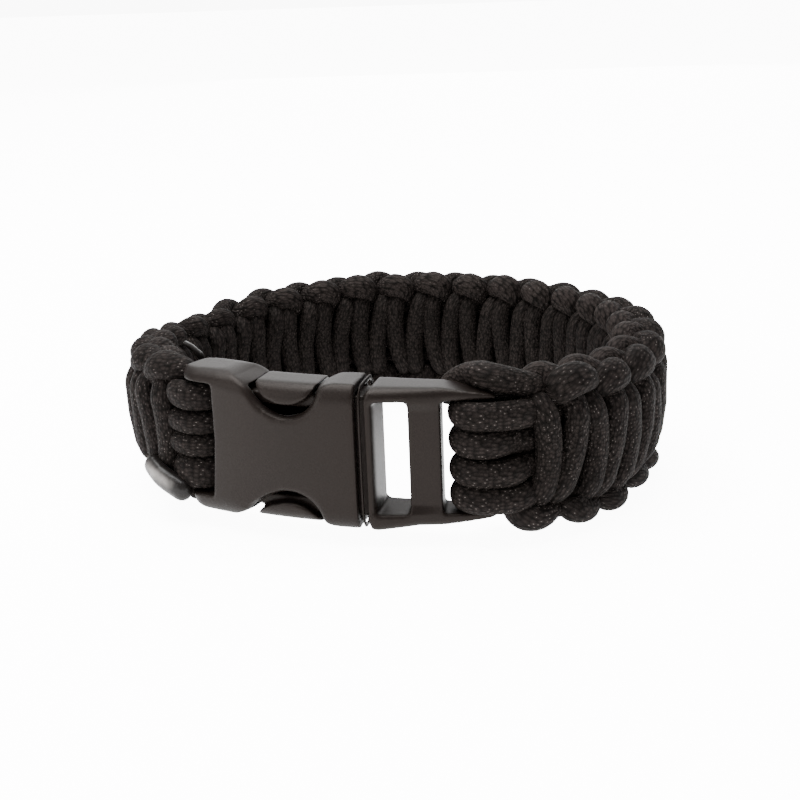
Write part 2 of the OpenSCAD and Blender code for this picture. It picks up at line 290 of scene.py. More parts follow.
@dataclass(frozen=True)
class Loop:
    """The bracelet's plan: arcs from the buckle round to the back, mirrored."""

    front_r: float = 80.0
    front_len: float = 48.0
    corner_r: float = 20.0
    corner_turn: float = 30.0
    side_r: float = 33.5
    side_turn: float = 58.0
    band_out: float = 4.9
    socket_half: float = 4.8
    mid_z: float = 12.7

    def arcs(self) -> tuple[Array, Array]:
        """Radius and turn of each arc of one half.

        The back arc's radius brings the half's end to the middle plane.

        Returns:
            The four radii, and the four turns in radians.
        """
        turn = np.radians([0, self.corner_turn, self.side_turn, 0])
        turn[0] = self.front_len / 2 / self.front_r
        turn[3] = np.pi - turn.sum()
        h = np.cumsum(np.concatenate([[0], turn]))
        r = np.array([self.front_r, self.corner_r, self.side_r, 0])
        r[3] = np.sum(r[:3] * np.diff(np.sin(h[:4]))) / math.sin(h[3])
        return r, turn

    def half_len(self) -> float:
        """Length of one half."""
        r, turn = self.arcs()
        return float(np.sum(r * turn))

    def at(self, s: Array) -> tuple[Array, Array, Array, Array]:
        """Triple and heading along the loop.

        Each half is a chain of arcs; the left half mirrors the right one.

        Args:
            s: Lengths from the buckle's middle, any shape.

        Returns:
            x, y, heading in radians, and radius, each of the shape of s.
        """
        r, turn = self.arcs()
        half = self.half_len()
        s = np.asarray(s, dtype=float)
        far = s > half
        before = s < 0
        m = np.clip(np.where(far, 2 * half - s, np.abs(s)), 0, half)
        ends = np.concatenate([[0], np.cumsum(r * turn)])
        heads = np.concatenate([[0], np.cumsum(turn)])
        x0 = np.concatenate([[0], np.cumsum(r * np.diff(np.sin(heads)))])
        y0 = np.concatenate([[0], np.cumsum(-r * np.diff(np.cos(heads)))])
        i = np.clip(np.searchsorted(ends, m, side="right") - 1, 0, len(r) - 1)
        h = heads[i] + (m - ends[i]) / r[i]
        x = x0[i] + r[i] * (np.sin(h) - np.sin(heads[i]))
        y = y0[i] + r[i] * (np.cos(heads[i]) - np.cos(h))
        heading = np.where(far, 2 * np.pi - h, np.where(before, -h, h))
        return np.where(far | before, -x, x), y + self.front_y(), heading, r[i]

    def front_y(self) -> float:
        """Where the front's middle line is, with the outline's middle at 0.

        Returns:
            Its y.
        """
        r, turn = self.arcs()
        h = np.cumsum(np.concatenate([[0], turn]))
        depth = np.sum(-r * np.diff(np.cos(h)))
        return float(-(depth + self.band_out - self.socket_half) / 2)

    def place(self, swn: Array) -> Array:
        """Turns loop coordinates (s, w, n) into x, y, z.

        Args:
            swn: Points, (..., 3).

        Returns:
            The points in millimetres.
        """
        x, y, h, _ = self.at(swn[..., 0])
        n = swn[..., 2]
        return np.stack([x + n * np.sin(h), y - n * np.cos(h), self.mid_z + swn[..., 1]], -1)

    def direct(self, s: Array, along: Array, up: Array, out: Array) -> Array:
        """Directions in x, y, z from their parts along the loop, up and out.

        Args:
            s: Lengths from the buckle's middle, (n,).
            along: The parts along the loop, (n,).
            up: The parts upwards, (n,).
            out: The parts out of the loop, (n,).

        Returns:
            The directions, (n, 3).
        """
        _, _, h, _ = self.at(s)
        return (along[..., None] * np.stack([np.cos(h), np.sin(h), 0 * h], -1)
                + out[..., None] * np.stack([np.sin(h), -np.cos(h), 0 * h], -1)
                + up[..., None] * np.array([0.0, 0.0, 1.0]))

    def crowding(self, s: Array, n: Array) -> Array:
        """How much the band is drawn together or apart at depth n: 1 + n over the radius."""
        return 1 + n / self.at(s)[3]


# Finishes, in which a Pair is the slope and the base of a line over a noise


class Nodes:
    """Short hand for building the node tree of a material or of the world.

    An input takes another node's output, a number or a colour.
    """

    def __init__(self, owner: bpy.types.ID) -> None:
        """Starts from the one shader that a new tree has.

        Args:
            owner: The material or the world.
        """
        owner.use_nodes = True
        self.tree = owner.node_tree
        self.shader = next(n for n in self.tree.nodes if n.type in ("BSDF_PRINCIPLED", "BACKGROUND"))

    def add(self, kind: str, **settings: object) -> bpy.types.Node:
        """Adds a node and sets its properties.

        Args:
            kind: The node's type.
            settings: Its properties by name.

        Returns:
            The node.
        """
        node = self.tree.nodes.new(kind)
        for key, value in settings.items():
            setattr(node, key, value)
        return node

    def join(self, source: object, target: Socket) -> None:
        """Links an output to an input, or sets a number or colour on it.

        Args:
            source: The output, number or colour.
            target: The input.
        """
        if isinstance(source, Socket):
            self.tree.links.new(source, target)
        else:
            target.default_value = source

    def fill(self, node: bpy.types.Node, **values: object) -> bpy.types.Node:
        """Links or sets a node's inputs.

        Args:
            node: The node.
            values: Outputs, numbers or colours by the input's name, underscores for spaces.

        Returns:
            The same node.
        """
        for key, value in values.items():
            self.join(value, node.inputs[key.replace("_", " ")])
        return node

    def math(self, operation: str, *inputs: object) -> Socket:
        """A Math node.

        Args:
            operation: What it does.
            inputs: Its inputs in order.

        Returns:
            Its output.
        """
        node = self.add("ShaderNodeMath", operation=operation)
        for value, target in zip(inputs, node.inputs):
            self.join(value, target)
        return node.outputs[0]

    def product(self, value: Socket, *factors: object) -> Socket:
        """Multiplies an output by the factors in turn.

        Args:
            value: The output.
            factors: Outputs or numbers.

        Returns:
            The product.
        """
        for factor in factors:
            value = self.math("MULTIPLY", value, factor)
        return value

    def line(self, value: Socket, slope: object, base: object) -> Socket:
        """The straight line slope times value plus base."""
        return self.math("ADD", self.product(value, slope), base)

    def noise(self, scale: float, detail: float) -> Socket:
        """Noise on Object coordinates.

        Args:
            scale: Cells a metre.
            detail: Layers of finer noise on it.

        Returns:
            Its value.
        """
        place = self.add("ShaderNodeTexCoord").outputs["Object"]
        node = self.fill(self.add("ShaderNodeTexNoise"), Scale=scale, Detail=detail, Vector=place)
        return node.outputs["Fac"]

    def cord_map(self) -> tuple[Socket, Socket]:
        """The two values of a tube's own map: share of the turn, and length in millimetres."""
        place = self.add("ShaderNodeUVMap", uv_map=CORD_MAP).outputs[0]
        return tuple(self.fill(self.add("ShaderNodeSeparateXYZ"), Vector=place).outputs[:2])

    def attribute(self, name: str) -> Socket:
        """A number that the mesh holds for each point."""
        return self.add("ShaderNodeAttribute", attribute_name=name).outputs["Fac"]

    def between(self, factor: object, low: object, high: object) -> Socket:
        """A colour between two.

        Args:
            factor: 0 for the low one, 1 for the high one.
            low: An output or a colour.
            high: An output or a colour.

        Returns:
            The colour.
        """
        node = self.add("ShaderNodeMix", data_type="RGBA")
        for value, target in zip((factor, low, high), (node.inputs[0], *node.inputs[6:8])):
            self.join(value, target)
        return node.outputs[2]

    def bump(self, height: Socket, depth: float) -> Socket:
        """The normal of a height, for a depth in millimetres."""
        return self.fill(self.add("ShaderNodeBump"), Distance=depth * MM, Height=height).outputs["Normal"]

    def seen(self, more: float, given: float) -> Socket:
        """A strength: what it gives to the bracelet, and more for the camera's own rays."""
        return self.line(self.add("ShaderNodeLightPath").outputs["Is Camera Ray"], more, given)


@dataclass(frozen=True)
class BraidedNylon:
    """Sheath of braided nylon yarns, near black, with small painted glints.

    The yarns show as rows of grains, which are Voronoi cells on the cord's
    own map: a grain's height falls off with the distance from its middle, and
    the colour darkens with it as painted shade in the grooves between grains.
    A few grains, picked by their cell's random colour, get painted glints at
    their tops, most of them where a coarse noise is high and none inside the
    loop. The sides turned into the loop get a little painted shade, and the
    upper knobs there painted light. Noise sizes are in cells a metre.
    """

    dark: Colour = (0.0008, 0.0006, 0.0005, 1.0)
    light: Colour = (0.0146, 0.0114, 0.0104, 1.0)
    # Colour of the painted glints on a few grains' tops.
    painted_glint: Colour = (0.074, 0.065, 0.061, 1.0)
    girth: float = 12.4
    grain: float = 0.5
    grain_stretch: float = 1.25
    grain_jitter: float = 0.8
    grain_slope: float = 1.35
    depth: float = 0.15
    fuzz_cells: float = 5200.0
    fuzz_height: float = 0.5
    patch_cells: float = 240.0
    patch_tone: Pair = (0.8, 0.5)
    detail: float = 2.0
    least_tone: float = 0.45
    glint_pick: float = 0.7
    glint_top: float = 0.83
    glint_power: float = 3.0
    glint_gain: float = 7.0
    # Painted shade on the sides inside the loop, and painted light on the upper knobs there.
    painted_inner_shade: float = -0.1
    painted_crown_light: float = 1.5
    roughness: Pair = (0.3, 0.57)
    shine: float = 0.06

    def make(self) -> bpy.types.Material:
        """Builds the material on the cord's own map.

        Returns:
            The material.
        """
        material = bpy.data.materials.new("braided_nylon")
        t = Nodes(material)
        turn, length = t.cord_map()
        place = t.fill(t.add("ShaderNodeCombineXYZ"),
                       X=t.product(turn, float(round(self.girth / self.grain))),
                       Y=t.math("DIVIDE", length, self.grain * self.grain_stretch))
        cells = t.fill(t.add("ShaderNodeTexVoronoi", voronoi_dimensions="2D"),
                       Scale=1.0, Randomness=self.grain_jitter, Vector=place.outputs[0])
        pick = t.fill(t.add("ShaderNodeSeparateColor"), Color=cells.outputs["Color"]).outputs
        dome = t.math("SUBTRACT", 1.0, t.product(cells.outputs["Distance"], self.grain_slope))
        dome = t.math("MAXIMUM", dome, 0.0)
        fuzz = t.noise(self.fuzz_cells, self.detail)
        patch = t.noise(self.patch_cells, self.detail)
        # Painted shade inside the loop, and painted light on its upper knobs.
        inside = t.attribute("inside")
        lift = t.line(t.attribute("crown"), self.painted_crown_light, self.painted_inner_shade)
        # Random tone times painted shade: darker towards each grain's edge and inside the loop, with
        # painted light on the upper knobs there.
        tone = t.product(dome, t.math("ADD", pick[1], self.least_tone), t.line(patch, *self.patch_tone),
                         t.line(inside, lift, 1.0))
        # Painted glints: a light colour mixed into the base colour at a few grains' tops, none inside the
        # loop.
        painted_glint_mask = t.product(t.math("GREATER_THAN", pick[0], self.glint_pick),
                           t.math("GREATER_THAN", dome, self.glint_top),
                           t.math("POWER", patch, self.glint_power),
                           t.math("SUBTRACT", 1.0, inside), self.glint_gain)
        t.fill(t.shader,
               Base_Color=t.between(t.math("MINIMUM", painted_glint_mask, 1.0),
                                    t.between(tone, self.dark, self.light), self.painted_glint),
               Roughness=t.line(fuzz, *self.roughness),
               Normal=t.bump(t.math("ADD", dome, t.product(fuzz, self.fuzz_height)), self.depth),
               Specular_IOR_Level=self.shine, Specular_Tint=WARM_TINT)
        return material


@dataclass(frozen=True)
class MouldedPlastic:
    """Satin acetal, warm dark grey, with fine grain and faint clouds.

    The colour goes by the sum of a coarse and a fine noise, and the fine one
    also makes the roughness and a shallow bump. Noise sizes are in cells a metre.
    """

    low: Colour = (0.0037, 0.0025, 0.0021, 1.0)
    high: Colour = (0.0065, 0.0046, 0.0039, 1.0)
    grain_cells: float = 6500.0
    grain_share: float = 0.3
    cloud_cells: float = 120.0
    cloud_share: float = 0.7
    detail: float = 3.0
    depth: float = 0.03
    roughness: Pair = (0.16, 0.34)
    shine: float = 0.11

    def make(self) -> bpy.types.Material:
        """Builds the material on Object coordinates.

        Returns:
            The material.
        """
        material = bpy.data.materials.new("moulded_plastic")
        t = Nodes(material)
        grain = t.noise(self.grain_cells, self.detail)
        cloud = t.noise(self.cloud_cells, self.detail)
        tone = t.line(cloud, self.cloud_share, t.product(grain, self.grain_share))
        t.fill(t.shader, Base_Color=t.between(tone, self.low, self.high),
               Roughness=t.line(grain, *self.roughness), Normal=t.bump(grain, self.depth),
               Specular_IOR_Level=self.shine, Specular_Tint=WARM_TINT)
        return material


@dataclass(frozen=True)
class MeltedNylon:
    """Cord end melted to a dark glaze, with a painted highlight along its crown.

    The painted highlight lies along one angle share of the map, the crown, as
    the tenth power of the cosine of the angle from there, and fades as 1 - x^2
    to both ends. A noise, in cells a metre, breaks it up and ripples the glaze.
    """

    dark: Colour = (0.006, 0.005, 0.0045, 1.0)
    # Colour of the painted highlight.
    painted_highlight: Colour = (0.20, 0.187, 0.177, 1.0)
    crown: float = 0.34
    crown_power: float = 10.0
    middle: float = 4.6
    reach: float = 3.6
    ripple_cells: float = 900.0
    detail: float = 3.0
    least_highlight: float = 0.4
    depth: float = 0.12
    roughness: Pair = (0.25, 0.20)
    shine: float = 0.15

    def make(self) -> bpy.types.Material:
        """Builds the material on the stub's own map.

        Returns:
            The material.
        """
        material = bpy.data.materials.new("melted_nylon")
        t = Nodes(material)
        ripple = t.noise(self.ripple_cells, self.detail)
        turn, length = t.cord_map()
        angle = t.product(t.math("SUBTRACT", turn, self.crown), 2 * math.pi)
        crown = t.math("POWER", t.math("MAXIMUM", t.math("COSINE", angle), 0.0), self.crown_power)
        away = t.math("DIVIDE", t.math("SUBTRACT", length, self.middle), self.reach)
        window = t.math("MAXIMUM", t.math("SUBTRACT", 1.0, t.product(away, away)), 0.0)
        # Painted highlight: a light streak along the stub's crown, fading to both ends.
        painted_highlight_mask = t.product(crown, window, t.math("ADD", ripple, self.least_highlight))
        t.fill(t.shader, Base_Color=t.between(painted_highlight_mask, self.dark, self.painted_highlight),
               Roughness=t.line(ripple, *self.roughness), Normal=t.bump(ripple, self.depth),
               Specular_IOR_Level=self.shine)
        return material


@dataclass(frozen=True)
class PaleFloor:
    """Plain white ground, lit from below as a light table is.

    The camera sees it at its full glow, and the bracelet gets less of it.
    """

    colour: Colour = (0.93, 0.93, 0.93, 1.0)
    white: Colour = (1.0, 1.0, 1.0, 1.0)
    roughness: float = 0.9
    glow: float = 1.9
    seen: float = 9.0

    def make(self) -> bpy.types.Material:
        """Builds the material.

        Returns:
            The material.
        """
        material = bpy.data.materials.new("pale_floor")
        t = Nodes(material)
        t.fill(t.shader, Base_Color=self.colour, Roughness=self.roughness,
               Emission_Color=self.white, Emission_Strength=t.seen(self.seen, self.glow))
        return material


# The weave


@dataclass
class Cell:
    """Two bars of the weave, drawn tight until the cords lie against each other.

    Both strands start as rough routes of the knot in a straight band that
    repeats every two bars. Each round, every point moves towards the middle
    of its neighbours, which shortens the cord as pulling does, and is then
    pushed out of any cord nearer than the contact distance, and out of the
    straight core strands. The points that may touch are looked up anew every
    few rounds, leaving out a point's own neighbours on its strand.
    """

    pitch: float
    points: int = 72
    strand_len: float = 66.0
    contact: float = 2.6
    core_contact: float = 3.1
    core_w: tuple[float, ...] = (-5.2, -1.75, 1.75, 5.2)
    rounds: int = 1100
    refresh: int = 20
    look_ahead: float = 1.2
    own_reach: float = 1.3
    pull: float = 0.3
    pushes_a_round: int = 2
    push_share: float = 0.9
    edge_w: float = 10.35
    bight_w: float = 8.5
    bight_fade: Pair = (6.5, 2.5)
    inner_gather: float = 0.22
    outer_gather: float = 0.05

    def rough(self) -> Array:
        """The outer strand's route through one cell, in bars, w and n.

        It crosses the outer face, goes round the edge under the other
        strand's bump, bends over two inner bars, and comes back.

        Returns:
            The route, (20, 3).
        """
        route = []
        for low, high, sign in ((1.15, 0.85, 1.0), (2.15, 1.85, -1.0)):
            route += [(low, -sign * 9.0, 2.0), (low, -sign * 7.0, 3.5), ((low + high) / 2, 0.0, 3.6),
                      (high, sign * 7.0, 3.5), (high, sign * 9.0, 2.0), (high - 0.1, sign * 9.7, 0.0),
                      (high + 0.15, sign * 10.6, -2.5), (high + 0.65, sign * 10.6, -3.6),
                      (high + 1.15, sign * 10.6, -2.5), (high + 1.4, sign * 9.7, 0.0)]
        return np.array(route)

    def even(self, route: Array) -> Array:
        """Spaces a cell's closed route evenly over its repeat.

        Args:
            route: The points, (n, 3).

        Returns:
            The new points, (points, 3).
        """
        full = np.vstack([route, route[:1] + [2 * self.pitch, 0.0, 0.0]])
        d = arc_length(full)
        t = np.linspace(0, d[-1], self.points, endpoint=False)
        return np.stack([np.interp(t, d, column) for column in full.T], 1)

    def relaxed(self) -> tuple[Array, Array]:
        """Draws the two strands tight.

        The tight pair is mirrored along the band, so that its bars bow away
        from the plug, as they do in the bracelet.

        Returns:
            The outer-bar strand and the inner-bar strand, (points, 3) each,
            as length along the band in millimetres, w and n.
        """
        n = self.points
        period = 2 * self.pitch
        outer = self.rough() * [self.pitch, 1, 1]
        x = np.concatenate([self.even(outer), self.even(outer * [1, -1, -1])])
        row = np.arange(n)
        after = np.concatenate([np.roll(row, -1), n + np.roll(row, -1)])
        before = np.concatenate([np.roll(row, 1), n + np.roll(row, 1)])
        wrap = np.zeros((2 * n, 3))
        wrap[[n - 1, 2 * n - 1], 0] = period
        wrap[[0, n], 0] -= period
        for step in range(self.rounds):
            if step % self.refresh == 0:
                pairs = self.near(x)
            x = x + self.pull * (0.5 * (x[after] + x[before] + wrap) - x)
            for _ in range(self.pushes_a_round):
                x = x + self.pushes(x, *pairs)
            if step % self.refresh == self.refresh - 1:
                x = np.concatenate([self.even(x[:n]), self.even(x[n:])])
        x = x * [1, self.edge_w / np.abs(x[:, 1]).max(), 1]
        pair = [self.gathered(part[::-1] * [-1, 1, 1] + [1.5 * period, 0, 0], share)
                for part, share in ((x[:n], self.inner_gather), (x[n:], self.outer_gather))]
        shift = self.pitch - self.first_bar(pair[0])
        return pair[0] + [shift, 0, 0], pair[1] + [shift, 0, 0]

    def gathered(self, strand: Array, share: float) -> Array:
        """Draws each bight together along the band, by a share of its length.

        Args:
            strand: One strand's route through the cell.
            share: The share, at the edge; it fades out towards the faces.

        Returns:
            The new route.
        """
        s, w, n = strand.T.copy()
        for side in (1, -1):
            weight = eased(fade(side * w, *self.bight_fade))
            far = s[side * w > self.bight_w]
            s = s - share * weight * (s - (far.min() + far.max()) / 2)
        return np.stack([s, w, n], 1)

    def first_bar(self, outer: Array) -> float:
        """Finds the outer strand's first bar.

        Args:
            outer: The strand's route.

        Returns:
            Length along the band at which the bar crosses the middle.
        """
        rising = np.nonzero((outer[:-1, 1] < 0) & (outer[1:, 1] >= 0) & (outer[:-1, 2] > 0))[0][0]
        a, b = outer[rising], outer[rising + 1]
        return float(a[0] + (b[0] - a[0]) * a[1] / (a[1] - b[1]))

    def near(self, x: Array) -> tuple[Array, Array, Array]:
        """Pairs of points near enough to touch soon.

        Args:
            x: Both strands' points, (2 points, 3).

        Returns:
            The first and the second points' indices, and how many millimetres
            of repeats lie between them.
        """
        index, strand = np.tile(np.arange(self.points), 2), np.repeat([0, 1], self.points)
        gap = int(math.ceil(self.own_reach * self.contact / (self.strand_len / self.points)))
        found = []
        for k in (-2, -1, 0, 1, 2):
            shift = 2 * self.pitch * k
            d = np.linalg.norm(x[:, None] - x[None] - [shift, 0, 0], axis=2)
            steps = np.abs(index[:, None] - index[None] - k * self.points)
            own = (strand[:, None] == strand[None]) & (steps < gap)
            a, b = np.nonzero((d < self.contact + self.look_ahead) & ~own)
            found.append((a, b, np.full(len(a), shift)))
        return tuple(np.concatenate(v) for v in zip(*found))

    def pushes(self, x: Array, a: Array, b: Array, shift: Array) -> Array:
        """How far each point is pushed out of the cords that it is too near to.

        A pair's points each give way by half of what is missing, along the
        line between them. A core strand stands still, so a point gives way to
        it by all of it. A point takes the mean of its pushes.

        Args:
            x: Both strands' points.
            a: Indices of the pairs' first points.
            b: Indices of the pairs' second points.
            shift: The repeats between them.

        Returns:
            The moves, of the shape of x.
        """
        d = x[a] - x[b]
        d[:, 0] -= shift
        r = np.maximum(np.linalg.norm(d, axis=1), TINY)
        deep = np.maximum(self.contact - r, 0)
        force = (0.5 * deep / r)[:, None] * d
        push = np.stack([np.bincount(a, force[:, k], len(x)) for k in range(3)], 1)
        count = np.bincount(a, deep > 0, len(x))
        e = x[:, None, 1:] - np.stack([self.core_w, np.zeros(len(self.core_w))], 1)[None]
        q = np.maximum(np.linalg.norm(e, axis=2), TINY)
        sunk = np.maximum(self.core_contact - q, 0)
        push[:, 1:] += ((sunk / q)[..., None] * e).sum(1)
        count = count + (sunk > 0).sum(1)
        return self.push_share * push / np.maximum(count, 1)[:, None]


def fine(cell: Array, period: float, count: int) -> Array:
    """More points on a cell's repeating route, by its Fourier series.

    Args:
        cell: The route, (n, 3), that repeats period further on.
        period: The repeat's length.
        count: The wanted number of points.

    Returns:
        The route at count even steps, (count, 3).
    """
    n = len(cell)
    drift = np.outer(np.arange(n) / n, [period, 0, 0])
    waves = np.fft.rfft(cell - drift, axis=0)
    back = np.fft.irfft(waves, n=count, axis=0) * (count / n)
    return back + np.outer(np.arange(count) / count, [period, 0, 0])


@dataclass
class WovenBand:
    """The two working strands and the core strands of the band.

    A hollow is its depth, and its middle and reach as shares of the way from
    the plug to the socket. A lead is the chosen points (s, w, n) that bring a
    strand from its bar of the buckle to the weave.
    """

    loop: Loop
    start: float = 30.2
    pitch: float = 3.955
    bars: int = 48
    core_w: tuple[float, ...] = (-5.3, -1.8, 1.8, 5.3)
    edge_w: float = 12.7
    back_dip: float = 1.0
    left_hollow: Triple = (2.3, 0.8, 0.115)
    right_hollow: Triple = (0.7, 0.13, 0.07)
    low_hollow: Triple = (1.4, 0.075, 0.035)
    socket_rise: float = 1.5
    cone: float = 1.6
    cone_steep: float = 12.0
    lean: float = 1.8
    cord_wide: float = 1.95
    cord_thick: float = 1.75
    knob_wide: float = 0.6
    knob_thick: float = 0.35
    knob_fade: Pair = (7.2, 2.5)
    knob_sink: Pair = (0.1, 0.36)
    sink_span: Pair = (0.2, 0.9)
    back_roll: float = 0.17
    oval_w: float = 10.7
    oval_n: float = 3.4
    oval_flat: float = 0.8
    inside_n: float = 3.0
    least_crowd: float = 0.84
    most_crowd: float = 1.08
    wander_step: float = 9.0
    wander_size: Triple = (0.16, 0.22, 0.10)
    wander_blur: int = 15
    low_lead: tuple[Triple, ...] = ((23.4, -6.5, -3.4), (24.4, -6.8, -4.2), (25.6, -8.8, -4.2))
    high_lead: tuple[Triple, ...] = ((17.5, 7.5, -4.9), (20.0, 9.4, -4.6), (22.6, 11.0, -2.9),
                                     (25.3, 11.4, 0.0))
    first_past: float = 0.4
    low_past: float = -1.0
    high_past: float = 1.5
    joint_points: tuple[int, int] = (6, 14)
    joint_step: float = 0.45
    core_past: float = 1.0
    per_cell: int = 150
    sides: int = 18

    def share(self, s: Array) -> Array:
        """Share of the way from the plug to the socket at length s."""
        return fade(s, self.start, self.pitch * self.bars)

    def knob(self, w: Array) -> Array:
        """How far a height is on an edge: 0 on the faces, 1 where a strand bends round."""
        return eased(fade(np.abs(w), *self.knob_fade))

    def edges(self, s: Array) -> tuple[Array, Array]:
        """The band's edges at length s.

        With t the share of the way from plug to socket, the upper edge dips by
        back_dip sin(pi t), and a little more in two hollows exp(-x^2), and
        the lower one rises by socket_rise t^3, with a hollow near the plug.

        Args:
            s: Lengths along the loop.

        Returns:
            The middle between the edges, and half the way between them.
        """
        t = self.share(s)

        def hollow(depth: float, middle: float, reach: float) -> Array:
            """Depth times exp(-x^2), x being the way from the middle over the reach."""
            return depth * np.exp(-((t - middle) / reach) ** 2)

        top = (self.edge_w - self.back_dip * np.sin(np.pi * t)
               - hollow(*self.left_hollow) - hollow(*self.right_hollow))
        low = self.socket_rise * t**3 - self.edge_w - hollow(*self.low_hollow)
        return (top + low) / 2, (top - low) / 2

    def settle(self, swn: Array) -> Array:
        """Fits a straight band's route to the real one.

        Heights follow the edges, and the upper points lie further from the
        buckle than the lower ones by up to twice the lean at both ends. The
        knobs sink towards the middle, at the back the band rolls outwards, and
        away from the buckle its lower edge draws in, as a cone's does.

        Args:
            swn: The route in the straight band, (n, 3).

        Returns:
            The route in loop coordinates, (n, 3).
        """
        s, w, n = swn.T
        t = self.share(s)
        middle, half = self.edges(s)
        lead = self.lean * w / self.edge_w * np.cos(np.pi * t)
        n = n * (1 - np.interp(t, self.sink_span, self.knob_sink) * self.knob(w))
        lift = -self.back_roll * n * np.sin(np.pi * t)
        n = n - self.cone * fade(w, 0, -self.edge_w) * np.clip(self.cone_steep * t * (1 - t), 0, 1)
        return np.stack([s + lead, middle + w * half / self.edge_w + lift, n], 1)

    def wander(self, path: Array, rng: np.random.Generator) -> Array:
        """Small smooth wander of a hand-tied cord.

        Random steps, one every wander_step along the cord, are joined by
        straight lines and then blurred by a cosine window.

        Args:
            path: The route, (n, 3).
            rng: Random numbers.

        Returns:
            The moved route.
        """
        d = arc_length(path)
        knots = np.arange(0, d[-1] + self.wander_step, self.wander_step)
        steps = rng.normal(0, 1, (len(knots), 3)) * self.wander_size
        kernel = np.hanning(self.wander_blur) / np.hanning(self.wander_blur).sum()
        moves = [np.convolve(np.interp(d, knots, column), kernel, mode="same") for column in steps.T]
        return path + np.stack(moves, 1)

    def strand(self, cell: Array, lead: Sequence[Triple], past: float, rng: np.random.Generator) -> Array:
        """One working strand from its lead to its cut end.

        Args:
            cell: Its relaxed cell.
            lead: Points (s, w, n) that bring it from the buckle's bar.
            past: How far past the last bar it is cut.
            rng: Random numbers for its wander.

        Returns:
            The route in loop coordinates.
        """
        period = 2 * self.pitch
        one = fine(cell, period, self.per_cell)
        turns = np.arange(-1, self.bars // 2 + 1)[:, None, None] * [period, 0, 0]
        run = (one[None] + turns).reshape(-1, 3)
        run[:, 0] += self.start - 0.5 * self.pitch
        first = int(np.nonzero(run[:, 0] >= self.start + self.first_past)[0][0])
        last = int(np.nonzero(run[:, 0] <= self.start + self.pitch * self.bars + past)[0][-1])
        run = self.wander(self.settle(run[first:last]), rng)
        near, far = self.joint_points
        joint = smooth_curve([*lead, run[near], run[far]], self.joint_step)
        cut = int(np.argmin(np.linalg.norm(joint - run[near], axis=1)))
        return np.vstack([joint[:cut], run[near:]])

    def tube(self, name: str, route: Array, cord: bpy.types.Material) -> bpy.types.Object:
        """Makes a strand of its route in loop coordinates.

        The section's thickness points along up (w/a)^5 + out f n/b, which is
        out on the faces and upright at the edges. Its width follows how the
        loop crowds the bars, and a strand is fuller where it bends round an
        edge. Each point also holds how far inside it is, and how far on an
        upper knob.

        Args:
            name: The piece's name.
            route: The route, (n, 3).
            cord: The cord's finish.

        Returns:
            The piece.
        """
        s, w, n = route.T
        flat = self.loop.direct(s, 0 * s, (w / self.oval_w) ** 5, n / self.oval_n * self.oval_flat)
        crowd = np.clip(self.loop.crowding(s, n), self.least_crowd, self.most_crowd)
        knob = self.knob(w)
        wide = (self.cord_wide + self.knob_wide * knob) * crowd
        thick = self.cord_thick + self.knob_thick * knob
        piece = sweep(name, cord, self.loop.place(route), flat, wide, thick, self.sides)
        # These shares drive the cord finish's painted shade inside the loop and painted light on the upper
        # knobs.
        for key, share in (("inside", fade(n, 0, -self.inside_n)), ("crown", knob * (w > 0))):
            rings = np.pad(share, len(END_TURNS), mode="edge")
            values = np.append(rings.repeat(self.sides), rings[[0, -1]]).astype(np.float32)
            piece.data.attributes.new(key, "FLOAT", "POINT").data.foreach_set("value", values)
        return piece

    def build(self, cord: bpy.types.Material) -> list[bpy.types.Object]:
        """Builds both working strands and the core.

        Args:
            cord: The cord's finish.

        Returns:
            The pieces, of which the two strands replace the band's node.
        """
        rng = np.random.default_rng(SEED)
        outer, inner = Cell(self.pitch).relaxed()
        low = self.strand(outer, self.low_lead, self.low_past, rng)
        high = self.strand(inner, self.high_lead, self.high_past, rng)
        pieces = [self.tube("strand_low", low, cord), self.tube("strand_high", high, cord)]
        for piece in pieces:
            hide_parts("woven_band")
        stop = self.start + self.pitch * self.bars
        s = np.arange(self.start - self.core_past, stop + self.core_past, 1.0)
        for k, w in enumerate(self.core_w, 1):
            pieces.append(self.tube(f"core_{k}", np.stack([s, np.full_like(s, w), 0 * s], 1), cord))
        return pieces


@dataclass(frozen=True)
class LoopRow:
    """The four cords on one bar of the buckle, from the bottom up.

    Attributes:
        bar: Length from the buckle's middle to the bar.
        wide: Half widths.
        rise: How much higher than evenly spaced they lie.
        reach: How far from the bar they go straight.
    """

    bar: float
    wide: tuple[float, ...]
    rise: tuple[float, ...]
    reach: tuple[float, ...]


